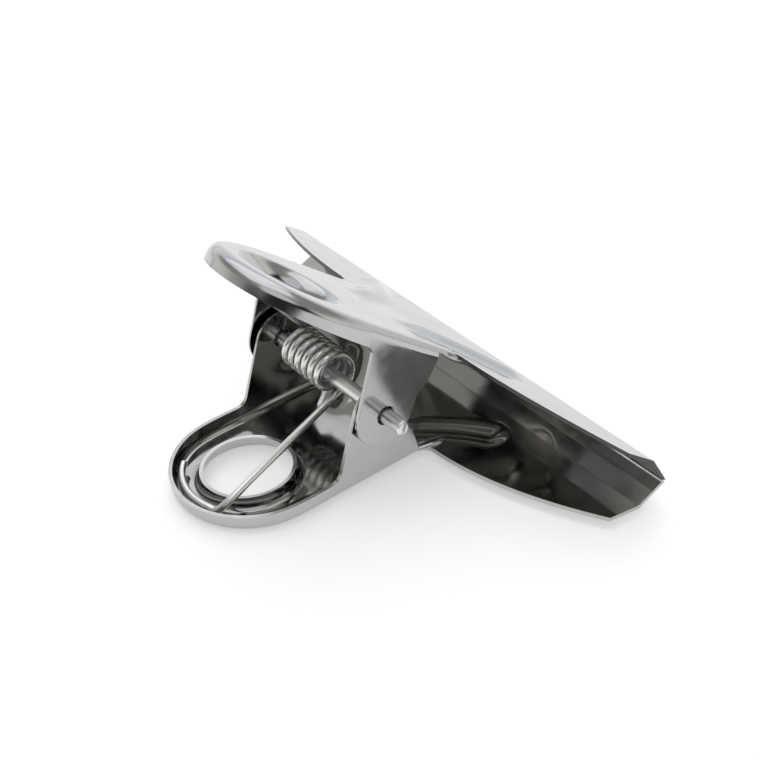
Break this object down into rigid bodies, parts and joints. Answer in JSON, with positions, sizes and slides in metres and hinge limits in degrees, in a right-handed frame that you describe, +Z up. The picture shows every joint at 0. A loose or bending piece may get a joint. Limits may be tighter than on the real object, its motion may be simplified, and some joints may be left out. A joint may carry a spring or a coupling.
{
  "type": "document clip",
  "caption": "Wide sprung steel clip for paper: pressed jaw halves with holed handles turn on a pin and are held shut by a torsion spring.",
  "frame": {"origin": "centre of the bounding box, at the level of the table the clip lies on", "axes": "+Y along the wide jaws, +X towards the mouth, +Z up, with the lower half's handle end and lip bend on the table"},
  "size_m": [0.0484, 0.075, 0.0335],
  "materials": {
    "polished_steel": "mirror-polished sheet steel",
    "pin_steel": "bright drawn steel",
    "spring_wire": "plated spring wire"
  },
  "bodies": {
    "lower": {"lower_half": "polished_steel", "hinge_pin": "pin_steel", "torsion_spring": "spring_wire"},
    "upper": {"upper_half": "polished_steel"}
  },
  "joints": [
    {"name": "jaw_hinge", "type": "hinge", "parent": "lower", "child": "upper", "pos_m": [-0.00049, 0, 0.01134], "axis": [0, -1, 0], "range_deg": [0, 70], "stiffness_Nm_per_rad": 0.2, "springref_deg": -57.3, "deforming": ["torsion_spring"]}
  ]
}
